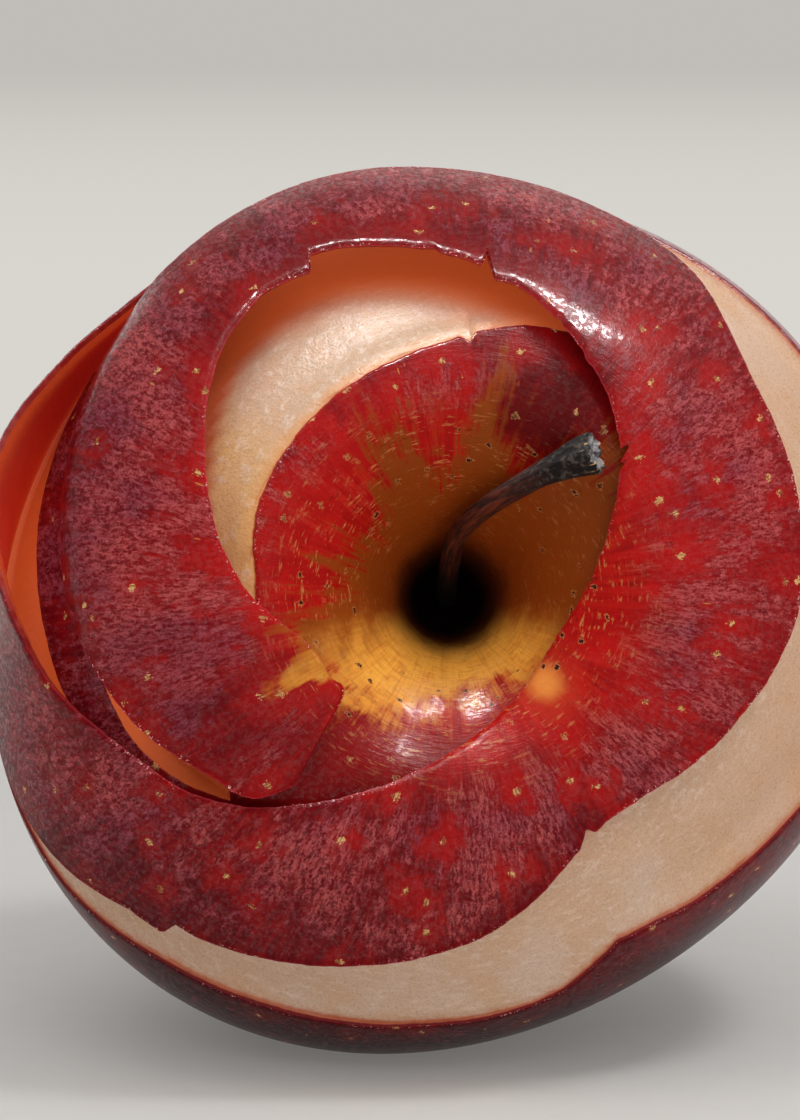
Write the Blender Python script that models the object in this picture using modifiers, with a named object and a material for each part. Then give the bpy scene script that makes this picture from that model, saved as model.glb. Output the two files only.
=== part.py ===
"""A whole apple lying on its side, its peel cut off in a spiral and laid loosely back round it.

The surface of the whole fruit is addressed by two numbers: the clock angle round its axis, in
degrees from the top, clockwise as seen from the stem, and the distance in millimetres along the
skin from the bottom of the stem cavity. Every cut runs along a rounded curve in those two numbers.
"""
import math

import bmesh
import bpy
import numpy as np

MM = 0.001

# The fruit: half its outline (radius, height) in mm, from the stem cavity to the blossom basin.
HALF_OUTLINE = [
    (0.0, 12.5), (1.6, 12.9), (3.2, 15.6), (5.2, 20.5), (8.0, 26.0), (11.8, 30.8), (16.5, 33.4),
    (22.5, 32.6), (30.0, 27.6), (36.0, 19.6), (39.2, 11.0), (40.0, 3.5), (38.6, -7.5),
    (34.8, -17.8), (29.2, -26.0), (23.0, -31.5), (16.8, -34.2), (11.8, -34.6), (7.5, -32.4),
    (4.0, -29.0), (0.0, -28.0)]
WIDEST = 40.0
DROPPED_TOP = 0.030       # how much shorter the radius is towards the top
LEAN = 0.008              # how much shorter it is towards the right
OVAL = 0.043              # how much longer it is along the oval's long way, which lies
OVAL_ANGLE = 61.3         # this many degrees clockwise from the top
THREE_LOBES = 0.015
SUNK_LIP = 4.8            # how much lower the rim of the stem cavity is at the bottom, in mm
LIP_RISES = (10.0, 26.0)  # distances along the skin between which the lip sinks
LIP_ENDS = (60.0, 28.0)   # and between which, from the outside in, the outline is found again
AXIS_RISE = 11.3          # degrees by which the stem end points up
AXIS_YAW = 3.3            # degrees by which it points to the right

# The peel: how thick it comes off, and how deep the bare flesh lies below the old skin, in mm.
PEEL_THICKNESS = 1.1
FLESH_DEPTH = 1.55
SKIN_ROOT = 0.8           # how far the skin left on reaches down into the flesh
SEAT_HOLE = 2.0           # distance round each pole where the skin stops
FLAT_DEPTH = 1.2          # how much of the lowest point the flat spot takes away

# Cuts, as (clock angle, distance along the skin). Angles past 360 are the second time round.
CUT_START = 228.0
STEM_SKIN_CUT = [
    (228, 37.5), (245, 31.5), (267, 28.6), (290, 29.8), (325, 31.0), (355, 32.7), (380, 35.7),
    (420, 35.0), (470, 33.0), (510, 32.0), (540, 33.2), (570, 35.7), (588, 37.5)]
STRIP_START = 530.0
STRIP_END = 664.0
STRIP_OUTER = [
    (530, 32.7), (550, 35.2), (570, 38.2), (590, 42.5), (617, 49.0), (629, 51.7), (640, 54.4),
    (664, 58.8)]
STRIP_INNER = [
    (588, 37.5), (602, 41.6), (622, 44.4), (636, 46.0), (650, 49.0), (664, 56.0)]
BASE_SKIN_CUT = [
    (0, 58.5), (37, 59.0), (70, 59.5), (105, 57.5), (122, 54.3), (141, 51.6), (155, 50.2),
    (165, 54.5), (187, 55.7), (207, 56.6), (221, 59.0), (235, 64.5), (270, 71.0), (315, 75.0),
    (360, 77.0)]
CUT_TIP = 77.0            # where the spiral cut stops, and the peel still hangs on

# The ribbon: its edge nearer the stem, its other edge, and how far each stands off the old skin.
PEEL_START = 220.5
PEEL_END = 720.0
PEEL_FRONT = [
    (220.5, 32.0), (223, 29.1), (226.5, 26.2), (238, 25.2), (250, 25.6), (267, 28.8), (300, 35.3),
    (321, 40.2), (338, 42.3), (356, 40.2), (378, 35.6), (407, 29.6), (439, 23.9), (477, 20.7),
    (507, 21.7), (545, 26.0), (569, 30.7), (593, 38.7), (607, 42.6), (616.5, 46.4), (632, 50.3),
    (658, 53.5), (680, 55.5), (720, 58.5)]
PEEL_REAR = [
    (220.5, 32.0), (223, 33.8), (235, 36.6), (253, 41.0), (271, 43.9), (288, 47.1), (309, 51.5),
    (340, 54.0), (380, 53.0), (397, 50.0), (409, 45.0), (432, 41.8), (452, 40.4), (480, 36.7),
    (511, 34.8), (537, 41.2), (564, 46.4), (581, 50.2), (599, 58.0), (620, 65.0), (640, 69.6),
    (660, 72.2), (690, 74.2), (720, 76.5)]
FRONT_LIFT = [
    (220.5, 2.2), (260, 2.3), (290, 3.4), (340, 3.6), (365, 3.0), (390, 2.3), (430, 2.0),
    (480, 1.9), (560, 1.9), (600, 1.9), (616, 2.8), (632, 5.3), (642, 7.6), (650, 7.0),
    (662, 4.8), (672, 3.1), (690, 1.8), (705, 0.4), (720, 0.0)]
REAR_LIFT = [
    (220.5, 2.2), (250, 2.3), (271, 3.5), (310, 3.6), (345, 4.0), (365, 2.8), (390, 1.7),
    (450, 1.7), (520, 1.8), (560, 1.6), (600, 1.3), (622, 0.2), (640, 0.0), (690, 0.0), (720, 0.0)]

# The stem: (clock angle, radius from the axis, height, thickness) of points along it, in mm.
STEM_PATH = [
    (0, 0.0, 13.5, 1.9), (0, 1.4, 17.0, 1.8), (0, 3.2, 20.8, 1.7), (3, 4.9, 24.0, 1.7),
    (12, 6.3, 26.6, 1.7), (20.5, 7.8, 28.9, 1.8), (29.5, 9.8, 31.3, 1.9), (36, 11.9, 33.2, 2.1),
    (39.5, 13.3, 34.4, 2.5), (42, 14.7, 35.4, 3.1), (44.5, 16.0, 36.1, 3.7), (45.3, 16.5, 36.3, 3.9)]

# How finely each part is faceted.
BODY_STEPS = 72           # round the fruit
OUTLINE_STEPS = 34        # from pole to pole
SKIN_ROWS = 9             # across a skin left on
SPIRAL_ROWS = 4           # across its spiral part
STRIP_ROWS = 2
STRIP_STEPS = 16          # along the strip past the end of the stem skin
PEEL_STEPS = 125
PEEL_ROWS = 4
JOINT_GAP = 1.0           # degrees left free between the ribbon's end and the skin it grows from
TABLE_STEPS = 1500        # points on the finely worked out outline
TANGENT_REACH = 0.4       # mm either way over which the outline's direction is taken
WELD = 0.02               # mm within which points are one
STEM_SIDES = 2            # curve bevel resolution
GROUND_SIZE = 0.1         # edge of the block that cuts the flat spot, in metres


def smooth_curve(points):
    """Return a function that runs through the points and is rounded between them."""
    places, values = np.array(points, dtype=float).T
    slopes = np.gradient(values, places)

    def value(place):
        index = np.clip(np.searchsorted(places, place) - 1, 0, len(places) - 2)
        width = places[index + 1] - places[index]
        t = np.clip((place - places[index]) / width, 0.0, 1.0)
        start = (1 + 2 * t) * (1 - t) ** 2 * values[index] + t * (1 - t) ** 2 * width * slopes[index]
        end = t * t * (3 - 2 * t) * values[index + 1] - t * t * (1 - t) * width * slopes[index + 1]
        return start + end

    return value


def outline_table():
    """Return the half outline as distance along the skin, radius and height, closely spaced."""
    points = np.array(HALF_OUTLINE)
    chord = np.concatenate([[0.0], np.cumsum(np.hypot(*np.diff(points, axis=0).T))])
    fine = np.linspace(0.0, chord[-1], TABLE_STEPS)
    radius = smooth_curve(list(zip(chord, points[:, 0])))(fine)
    height = smooth_curve(list(zip(chord, points[:, 1])))(fine)
    distance = np.concatenate([[0.0], np.cumsum(np.hypot(np.diff(radius), np.diff(height)))])
    return distance, np.maximum(radius, 0.0), height


DISTANCE, RADIUS, HEIGHT = outline_table()
SKIN_LENGTH = DISTANCE[-1]


def outline(distance, lift):
    """Return radius and height of a point that stands off the outline by lift."""
    near = max(distance - TANGENT_REACH, 0.0)
    far = min(distance + TANGENT_REACH, SKIN_LENGTH)
    run = np.interp(far, DISTANCE, RADIUS) - np.interp(near, DISTANCE, RADIUS)
    rise = np.interp(far, DISTANCE, HEIGHT) - np.interp(near, DISTANCE, HEIGHT)
    size = math.hypot(run, rise)
    radius = np.interp(distance, DISTANCE, RADIUS) - lift * rise / size
    height = np.interp(distance, DISTANCE, HEIGHT) + lift * run / size
    return radius, height


def lobed(angle, radius):
    """Return the radius after the fruit's unevenness, which fades out towards the axis."""
    turn = math.radians(angle)
    uneven = (-DROPPED_TOP * math.cos(turn) - LEAN * math.sin(turn)
              + OVAL * math.cos(2 * (turn - math.radians(OVAL_ANGLE)))
              - THREE_LOBES * math.sin(3 * turn))
    return radius * (1 + uneven * min(radius / WIDEST, 1.0) ** 2)


def soft_step(low, high, value):
    """Return 0 at low, 1 at high and a smooth rise between."""
    t = min(max((value - low) / (high - low), 0.0), 1.0)
    return t * t * (3 - 2 * t)


def sunk_lip(angle, distance):
    """Return by how many mm the fruit is lower than its outline, below the stem cavity."""
    low_side = ((1 - math.cos(math.radians(angle))) / 2) ** 1.5
    return SUNK_LIP * low_side * soft_step(*LIP_RISES, distance) * soft_step(*LIP_ENDS, distance)


def place(angle, radius, height):
    """Return the point in metres, with the fruit's axis along Z and its top towards Y."""
    turn = math.radians(angle)
    return (radius * math.sin(turn) * MM, radius * math.cos(turn) * MM, height * MM)


def on_fruit(angle, distance, lift=0.0):
    """Return the point at a clock angle and a distance along the skin, standing off by lift."""
    radius, height = outline(distance, lift)
    bare_radius, _ = outline(distance, 0.0)
    height -= sunk_lip(angle, distance)
    return place(angle, lobed(angle, bare_radius) + radius - bare_radius, height)


def add_object(name, bm, collection):
    """Turn a bmesh into an object in the collection."""
    mesh = bpy.data.meshes.new(name)
    bm.to_mesh(mesh)
    bm.free()
    obj = bpy.data.objects.new(name, mesh)
    collection.objects.link(obj)
    return obj


def apply_modifiers(obj):
    """Replace the object's mesh with what its modifiers make of it."""
    evaluated = obj.evaluated_get(bpy.context.evaluated_depsgraph_get())
    obj.data = bpy.data.meshes.new_from_object(evaluated)
    obj.modifiers.clear()


def add_sheet(bm, start, end, steps, rows, near, far, point):
    """Add a grid of steps by rows to the bmesh, reaching from near(angle) to far(angle)."""
    grid = bmesh.ops.create_grid(bm, x_segments=steps, y_segments=rows, size=0.5)
    for vert in grid["verts"]:
        angle = start + (end - start) * (vert.co.x + 0.5)
        share = vert.co.y + 0.5
        distance = near(angle) + (far(angle) - near(angle)) * share
        vert.co = point(angle, distance, share)


def finish_sheet(bm, name, collection, thickness):
    """Weld the sheet, face it outwards and give it its thickness on the inner side."""
    bmesh.ops.remove_doubles(bm, verts=bm.verts, dist=WELD * MM)
    bmesh.ops.dissolve_degenerate(bm, dist=WELD / 2 * MM, edges=bm.edges)
    bmesh.ops.recalc_face_normals(bm, faces=bm.faces)
    outwards = sum(face.normal.dot(face.calc_center_median()) for face in bm.faces)
    if outwards < 0:
        bmesh.ops.reverse_faces(bm, faces=bm.faces)
    obj = add_object(name, bm, collection)
    solid = obj.modifiers.new("thickness", "SOLIDIFY")
    solid.thickness = thickness * MM
    solid.offset = -1.0
    solid.use_even_offset = True
    apply_modifiers(obj)
    return obj


def add_flesh(collection):
    """The bare fruit: the outline, set in by the depth of the peel, turned round the axis."""
    bm = bmesh.new()
    last = None
    distances = np.linspace(0.0, SKIN_LENGTH, OUTLINE_STEPS + 1)
    profile = np.array([outline(distance, -FLESH_DEPTH) for distance in distances])
    profile[[0, -1], 0] = 0.0
    for radius, height in profile:
        vert = bm.verts.new((radius * MM, 0.0, height * MM))
        if last is not None:
            bm.edges.new((last, vert))
        last = vert
    obj = add_object("apple_body", bm, collection)
    screw = obj.modifiers.new("lathe", "SCREW")
    screw.steps = BODY_STEPS
    screw.render_steps = BODY_STEPS
    screw.use_merge_vertices = True
    screw.merge_threshold = WELD * MM
    apply_modifiers(obj)
    for vert in obj.data.vertices:
        radius = math.hypot(vert.co.x, vert.co.y) / MM
        height = vert.co.z / MM
        angle = math.degrees(math.atan2(vert.co.x, vert.co.y))
        ring = np.hypot(profile[:, 0] - radius, profile[:, 1] - height).argmin()
        if radius > FLESH_DEPTH:
            radius = lobed(angle, radius + FLESH_DEPTH) - FLESH_DEPTH
        vert.co = place(angle, radius, height - sunk_lip(angle, distances[ring]))
    return obj


def add_stem_skin(collection):
    """The skin left round the stem cavity, with the strip the knife missed at its far end."""
    cut = smooth_curve(STEM_SKIN_CUT)
    bm = bmesh.new()
    turns = CUT_START + 360.0

    def skin(angle, distance, _share):
        return on_fruit(angle, distance)

    add_sheet(bm, CUT_START, turns, BODY_STEPS, SKIN_ROWS, lambda _: SEAT_HOLE, cut, skin)
    outer = smooth_curve(STRIP_OUTER)
    strip_steps = round((turns - STRIP_START) * BODY_STEPS / 360)
    strip_start = turns - strip_steps * 360 / BODY_STEPS
    add_sheet(bm, strip_start, turns, strip_steps, STRIP_ROWS, cut,
              lambda angle: max(outer(angle), cut(angle)), skin)
    add_sheet(bm, turns, STRIP_END, STRIP_STEPS, STRIP_ROWS, smooth_curve(STRIP_INNER), outer, skin)
    return finish_sheet(bm, "stem_skin", collection, FLESH_DEPTH + SKIN_ROOT)


def add_base_skin(collection):
    """The skin left on the blossom half, up to the second turn of the cut."""
    cut = smooth_curve(BASE_SKIN_CUT)
    bm = bmesh.new()

    def skin(angle, distance, _share):
        return on_fruit(angle, distance)

    add_sheet(bm, 0.0, 360.0, BODY_STEPS, SPIRAL_ROWS, cut, lambda _: CUT_TIP, skin)
    add_sheet(bm, 0.0, 360.0, BODY_STEPS, SKIN_ROWS, lambda _: CUT_TIP,
              lambda _: SKIN_LENGTH - SEAT_HOLE, skin)
    return finish_sheet(bm, "base_skin", collection, FLESH_DEPTH + SKIN_ROOT)


def add_body(collection, cutters):
    """Flesh and the skin still on it, as one solid. The exact solver loses the flesh here."""
    body = add_flesh(collection)
    for skin in (add_stem_skin(cutters), add_base_skin(cutters)):
        union = body.modifiers.new(skin.name, "BOOLEAN")
        union.operation = "UNION"
        union.solver = "MANIFOLD"
        union.object = skin
        skin.hide_render = True
        skin.display_type = "WIRE"
    apply_modifiers(body)
    return body


def add_ribbon(collection):
    """The loose peel: a thin band, from its free end near the stem to where it still hangs on."""
    front, rear = smooth_curve(PEEL_FRONT), smooth_curve(PEEL_REAR)
    front_lift, rear_lift = smooth_curve(FRONT_LIFT), smooth_curve(REAR_LIFT)

    def loose(angle, distance, share):
        lift = rear_lift(angle) + (front_lift(angle) - rear_lift(angle)) * (1 - share) ** 2
        return on_fruit(angle, distance, lift)

    bm = bmesh.new()
    add_sheet(bm, PEEL_START, PEEL_END - JOINT_GAP, PEEL_STEPS, PEEL_ROWS, front, rear, loose)
    return finish_sheet(bm, "peel_ribbon", collection, PEEL_THICKNESS)


def add_stem(collection):
    """The stem: a round stalk that rises from the cavity, leans to the right and flares."""
    curve = bpy.data.curves.new("stem", "CURVE")
    curve.dimensions = "3D"
    curve.bevel_depth = MM / 2
    curve.bevel_resolution = STEM_SIDES
    curve.use_fill_caps = True
    spline = curve.splines.new("POLY")
    spline.points.add(len(STEM_PATH) - 1)
    for point, (angle, radius, height, thickness) in zip(spline.points, STEM_PATH):
        point.co = (*place(angle, radius, height), 1.0)
        point.radius = thickness
    obj = bpy.data.objects.new("stem", curve)
    collection.objects.link(obj)
    return obj


def paint(obj, name, color, roughness):
    """Give the object its own plain material."""
    material = bpy.data.materials.new(name)
    material.use_nodes = True
    shader = material.node_tree.nodes["Principled BSDF"]
    shader.inputs["Base Color"].default_value = (*color, 1.0)
    shader.inputs["Roughness"].default_value = roughness
    obj.data.materials.clear()
    obj.data.materials.append(material)


def world_box(objects):
    """Return the lowest and highest corner of the objects, with their modifiers."""
    bpy.context.view_layer.update()
    graph = bpy.context.evaluated_depsgraph_get()
    corners = []
    for obj in objects:
        evaluated = obj.evaluated_get(graph)
        mesh = evaluated.to_mesh()
        corners.extend(obj.matrix_world @ vert.co for vert in mesh.vertices)
        evaluated.to_mesh_clear()
    points = np.array(corners)
    return points.min(axis=0), points.max(axis=0)


def lay_down(objects):
    """Lay the pieces on their side, centred over the origin, the flat spot's level at the ground."""
    for obj in objects:
        obj.rotation_euler = (math.radians(90.0 - AXIS_RISE), 0.0, math.radians(AXIS_YAW))
    low, high = world_box(objects)
    shift = (-(low[0] + high[0]) / 2, -(low[1] + high[1]) / 2, -low[2] - FLAT_DEPTH * MM)
    for obj in objects:
        obj.location = shift


def cut_flat(body, cutters):
    """Take away what lies below the ground, which leaves the flat spot the fruit rests on."""
    bpy.ops.mesh.primitive_cube_add(size=GROUND_SIZE, location=(0.0, 0.0, -GROUND_SIZE / 2))
    ground = bpy.context.object
    ground.name = "ground_cutter"
    for owner in ground.users_collection:
        owner.objects.unlink(ground)
    cutters.objects.link(ground)
    ground.hide_render = True
    ground.display_type = "WIRE"
    flat = body.modifiers.new("flat", "BOOLEAN")
    flat.operation = "DIFFERENCE"
    flat.solver = "EXACT"
    flat.object = ground


def main():
    for obj in list(bpy.data.objects):
        bpy.data.objects.remove(obj, do_unlink=True)
    parts = bpy.data.collections.new("spiral_peeled_apple")
    cutters = bpy.data.collections.new("cutters")
    bpy.context.scene.collection.children.link(parts)
    bpy.context.scene.collection.children.link(cutters)

    body = add_body(parts, cutters)
    ribbon = add_ribbon(parts)
    stem = add_stem(parts)
    paint(body, "fruit", (0.62, 0.36, 0.20), 0.45)
    paint(ribbon, "peel", (0.32, 0.02, 0.02), 0.30)
    paint(stem, "stalk", (0.06, 0.03, 0.02), 0.80)
    lay_down([body, ribbon, stem])
    cut_flat(body, cutters)


main()
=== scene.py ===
"""A whole apple on its side, its peel cut off in a spiral and laid loosely back round it.

The fruit's surface is addressed by two numbers: the clock angle round its axis, in degrees from the
top, clockwise as seen from the stem, and the distance in millimetres along the skin from the bottom
of the stem cavity. Pieces are shaped in the fruit's own frame, its axis along Z, and then laid down.
"""

import math
from contextlib import contextmanager

import bpy
import numpy as np
from mathutils import Euler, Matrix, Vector


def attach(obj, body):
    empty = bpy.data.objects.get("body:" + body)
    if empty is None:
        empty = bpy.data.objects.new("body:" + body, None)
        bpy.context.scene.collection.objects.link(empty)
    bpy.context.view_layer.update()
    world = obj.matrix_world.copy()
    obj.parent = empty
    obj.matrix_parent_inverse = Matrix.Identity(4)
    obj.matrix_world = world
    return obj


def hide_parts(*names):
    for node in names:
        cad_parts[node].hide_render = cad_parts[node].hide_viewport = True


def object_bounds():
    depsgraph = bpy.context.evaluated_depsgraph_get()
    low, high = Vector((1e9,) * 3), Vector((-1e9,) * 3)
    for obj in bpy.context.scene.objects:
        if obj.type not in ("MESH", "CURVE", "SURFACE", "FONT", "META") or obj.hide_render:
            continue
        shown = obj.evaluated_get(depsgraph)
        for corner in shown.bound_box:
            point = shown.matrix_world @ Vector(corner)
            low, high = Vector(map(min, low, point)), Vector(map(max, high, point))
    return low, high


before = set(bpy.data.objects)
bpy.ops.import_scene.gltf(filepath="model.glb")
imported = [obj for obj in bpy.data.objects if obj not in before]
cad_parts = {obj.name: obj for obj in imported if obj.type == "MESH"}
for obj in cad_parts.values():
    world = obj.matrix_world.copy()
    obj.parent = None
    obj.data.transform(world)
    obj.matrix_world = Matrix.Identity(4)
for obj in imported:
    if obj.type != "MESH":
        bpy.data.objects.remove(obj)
CAD_LOW, CAD_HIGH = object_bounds()

MM = 0.001

# The fruit: half its outline (radius, height) in mm, from the stem cavity to the blossom basin.
HALF_OUTLINE = [
    (0, 12.5), (1.6, 12.9), (3.2, 15.6), (5.2, 20.5), (8, 26), (11.8, 30.8), (16.5, 33.4),
    (22.5, 32.6), (30, 27.6), (36, 19.6), (39.2, 11), (40, 3.5), (38.6, -7.5),
    (34.8, -17.8), (29.2, -26), (23, -31.5), (16.8, -34.2), (11.8, -34.6), (7.5, -32.4),
    (4, -29), (0, -28)]
WIDEST = 40
DROPPED_TOP = 0.030  # how much shorter the radius is towards the top
LEAN = 0.008         # how much shorter it is towards the right
OVAL = 0.043         # how much longer it is along the oval's long way, which lies
OVAL_ANGLE = 61.3    # this many degrees clockwise from the top
THREE_LOBES = 0.015
SUNK_LIP = 4.8        # how much lower the rim of the stem cavity is at the bottom, in mm
LIP_RISES = (10, 26)  # mm along the skin from where that starts to where it is full
LIP_ENDS = (60, 28)   # mm along the skin from where it has ended back to where it is full
AXIS_RISE = 11.3      # degrees by which the stem end points up
AXIS_YAW = 3.3        # degrees by which it points to the right

PEEL_THICKNESS = 1.1
FLESH_DEPTH = 1.55  # how deep the bare flesh lies below the old skin
FLESH_SLOPE = 1.27  # how much less deep it lies right beside the skin left on
SLOPE_WIDTH = 2.2   # how far from that skin the slope reaches, in mm
SKIN_DEPTH = 0.1    # mm below the old skin at which a face begins to be flesh

# Cuts, as (clock angle, distance along the skin). Angles past 360 are the second time round.
CUT_START = 228
STEM_SKIN_CUT = [
    (228, 37.5), (245, 31.5), (267, 28.6), (290, 29.8), (325, 31), (355, 32.7), (380, 35.7),
    (420, 35), (470, 33), (510, 32), (540, 33.2), (570, 35.7), (588, 37.5)]
STRIP_OUTER = [
    (530, 32.7), (550, 35.2), (570, 38.2), (590, 42.5), (617, 49), (629, 51.7), (640, 54.4),
    (664, 58.8)]
STRIP_INNER = [
    (588, 37.5), (602, 41.6), (622, 44.4), (636, 46), (650, 49), (664, 56)]
BASE_SKIN_CUT = [
    (0, 58.5), (37, 59), (70, 59.5), (105, 57.5), (122, 54.3), (141, 51.6), (155, 50.2),
    (165, 54.5), (187, 55.7), (207, 56.6), (221, 59), (235, 64.5), (270, 71), (315, 75),
    (360, 77)]
PEEL_START = 220.5
PEEL_END = 720
PEEL_FRONT = [
    (220.5, 32), (223, 29.1), (226.5, 26.2), (238, 25.2), (250, 25.6), (267, 28.8), (300, 35.3),
    (321, 40.2), (338, 42.3), (356, 40.2), (378, 35.6), (407, 29.6), (439, 23.9), (477, 20.7),
    (507, 21.7), (545, 26), (569, 30.7), (593, 38.7), (607, 42.6), (616.5, 46.4), (632, 50.3),
    (658, 53.5), (680, 55.5), (720, 58.5)]
PEEL_REAR = [
    (220.5, 32), (223, 33.8), (235, 36.6), (253, 41), (271, 43.9), (288, 47.1), (309, 51.5),
    (340, 54), (380, 53), (397, 50), (409, 45), (432, 41.8), (452, 40.4), (480, 36.7),
    (511, 34.8), (537, 41.2), (564, 46.4), (581, 50.2), (599, 58), (620, 65), (640, 69.6),
    (660, 72.2), (690, 74.2), (720, 76.5)]
FRONT_LIFT = [
    (220.5, 2.2), (260, 2.3), (290, 3.4), (340, 3.6), (365, 3), (390, 2.3), (430, 2),
    (480, 1.9), (560, 1.9), (600, 1.9), (616, 2.8), (632, 5.3), (642, 7.6), (650, 7),
    (662, 4.8), (672, 3.1), (690, 1.8), (705, 0.4), (720, 0)]
REAR_LIFT = [
    (220.5, 2.2), (250, 2.3), (271, 3.5), (310, 3.6), (345, 4), (365, 2.8), (390, 1.7),
    (450, 1.7), (520, 1.8), (560, 1.6), (600, 1.3), (622, 0.2), (640, 0), (690, 0), (720, 0)]
STEM_PATH = [
    (0, 0, 13.5, 1.9), (0, 1.4, 17, 1.8), (0, 3.2, 20.8, 1.7), (3, 4.9, 24, 1.7),
    (12, 6.3, 26.6, 1.7), (20.5, 7.8, 28.9, 1.8), (29.5, 9.8, 31.3, 1.9), (36, 11.9, 33.2, 2.1),
    (39.5, 13.2, 34.3, 2.5), (42, 14.4, 35.2, 3), (44.2, 15.5, 35.9, 3.4), (45, 15.9, 36.1, 3.5)]

# The form of the peel, in mm.
ROLL_EXTRA, ROLL_DROP, ROLL_WIDTH = 2, 1.8, 4.5  # the rear edge where it is rolled in
EDGE_BEND, EDGE_BEND_WIDTH = 0.28, 0.8  # how far a cut edge bends in
EDGE_THICKNESS, EDGE_TAPER = 0.42, 1.6  # the share of the thickness left at an edge
EDGE_CROWDING = 0.8   # how much closer the rows of the mesh lie at the edges
MM_PER_DEGREE = 0.35  # along the peel at its free end

# A skin left on the fruit, in section: share of the rows, how far it has gone from the pole to the
# ring that stays put, from there to the cut, mm past the cut, and depth below the surface in mm.
SKIN_SECTION = np.array([
    (0, 0, 0, 0, 0), (0.38, 1, 0, 0, 0), (0.70, 1, 1, -0.40, 0),
    (0.72, 1, 1, -0.12, 0.03), (0.74, 1, 1, 0, 0.16), (0.76, 1, 1, 0.30, 0.65),
    (0.78, 1, 1, 0.62, 1.25), (0.80, 1, 1, 0.95, 1.75), (0.82, 1, 1, 1.10, 2.35),
    (0.90, 1, 0, 0, 2.35), (1, 0, 0, 0, 2.35)])
STEM_SKIN_RING, BASE_SKIN_RING = 22, 82  # distances of the rings that stay put

# The strip that the knife missed: the clock angles of its ends, and its section as share of the
# way round, side, mm past that side, and depth in mm.
STRIP_FROM, STRIP_TO = 585, 664
STRIP_SECTION = np.array([
    (0, -1, 0.1, 0), (0.35, 1, -0.1, 0), (0.40, 1, 0.1, 0.16), (0.50, 1, 1.1, 2.30),
    (0.85, -1, -1.1, 2.30), (0.90, -1, -0.1, 0.16), (1, -1, 0.1, 0)])

# The stem's rows, from its foot to its tip: share of the rows, of its length and of its width.
STEM_ROWS = np.array([
    (0, 0, 0), (0.06, 0.02, 1), (0.90, 1, 1), (0.94, 1, 0.9), (1, 1, 0)])

# Tears and nicks in a cut: (clock angle, degrees it opens over, degrees it closes over, mm).
FRONT_TEARS = [
    (335.6, 9, 1, -1.3), (336.8, 1, 10, 0.6), (356.4, 3, 0.6, 0.35),
    (365.2, 0.5, 1, 2), (366.8, 0.6, 4, -0.7), (381, 1.5, 0.8, 0.3),
    (389, 0.8, 2, -0.3), (410, 0.8, 2, 0.9), (413, 0.6, 1.2, 0.5),
    (446, 0.7, 1.5, 0.35)]
REAR_TEARS = [(512.5, 1.5, 3, -0.8), (580.8, 3, 0.4, -0.7), (581.2, 0.3, 5, 1.2)]
STEM_SKIN_TEARS = [(363, 2.5, 1, -0.8)]
BASE_SKIN_TEARS = [(155, 2, 1.5, -0.6)]
WAVER = 0.04  # how far a cut made by hand wavers from its line, in mm

# How finely things are divided: parts round and down, or along and across.
FRUIT_MESH, SKIN_MESH, STRIP_MESH, STEM_MESH = (256, 130), (480, 92), (40, 120), (48, 120)
PEEL_MESH = (1000, 32)
OUTLINE_PARTS = 1500
SPAN = 0.4        # mm to either side over which the outline's direction is taken
SPAN_PARTS = 4    # much the same, as a number of its parts
BATCH = 4000      # points looked up at a time, which keeps the arrays small
SHARP_ABOVE = 32  # degrees between two faces from which their edge stays sharp

# How far the gold round the stem reaches: (clock angle, distance along the skin).
GOLD_REACH = [
    (0, 19.5), (4, 24), (9, 28.5), (14, 28), (19, 24), (26, 20.5), (34, 21.5), (46, 28),
    (70, 32), (95, 31), (114, 27), (128, 21.5), (140, 18.5), (150, 17), (165, 17),
    (183, 18), (200, 19.5), (212, 22), (229, 23.5), (245, 25.5), (256, 26.5), (263, 22),
    (270, 20.5), (280, 20.5), (291, 19), (305, 16), (321, 20), (330, 25), (340, 25),
    (350, 21), (360, 19.5)]
GOLD_ON_PEEL = [
    (220, 17), (230, 21), (238, 26), (243, 29), (247, 27), (253, 26.2), (260, 26.5),
    (266, 19), (276, 6), (290, 0), (720, 0)]
SUN_SPOT = (137, 22.6)  # a round yellow mark: clock angle, distance along the skin
OVERHANG_SHADE = (27, 28)   # a patch of painted shade beside the stem, under the peel's overhang
MAP_RADIUS = 24         # the radius in mm at which the skin is unrolled
LENTICEL_SPACING = 5.6  # mm, about
DASH_SPACING = 1.5

# How far the painted shade and the light let through the peel reach on the flesh, as (clock angle,
# mm), and how bright its painted glow is there.
PEEL_SHADING_REACH = [
    (220, 0.6), (250, -0.4), (300, -0.6), (318, 0.2), (335, 4.2), (350, 5.6), (360, 6.2),
    (380, 6.6), (420, 3), (580, 0.5)]
THROUGH_PEEL_GLOW = [
    (0, 0.80), (20, 0.75), (40, 0.3), (70, 0), (200, 0), (225, 0.35), (240, 0.35), (250, 0.7),
    (285, 0.7), (300, 0.2), (318, 0.4), (338, 0.75), (360, 0.80)]
UNLIT = (0, 0, 0, 1)

# The set and the camera, in metres and degrees.
FLOOR_RADIUS = 8
FLOOR_GLOW = 0.28  # how far the floor near the fruit is lit evenly, shadow or not
ROOM_COLOUR = (1, 0.99, 0.98, 1)
ROOM_LIGHT = (0.10, 0.22)  # from the front and from the back
CAMERA_RISE = 8            # degrees the camera stands above the level
CAMERA_DISTANCE = 0.400
SENSOR = 36
VIEW_HEIGHT = 103.036 * MM  # how much the view takes in at the fruit's middle
LOOK_RIGHT, LOOK_UP = -3.27 * MM, 4.34 * MM

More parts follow.
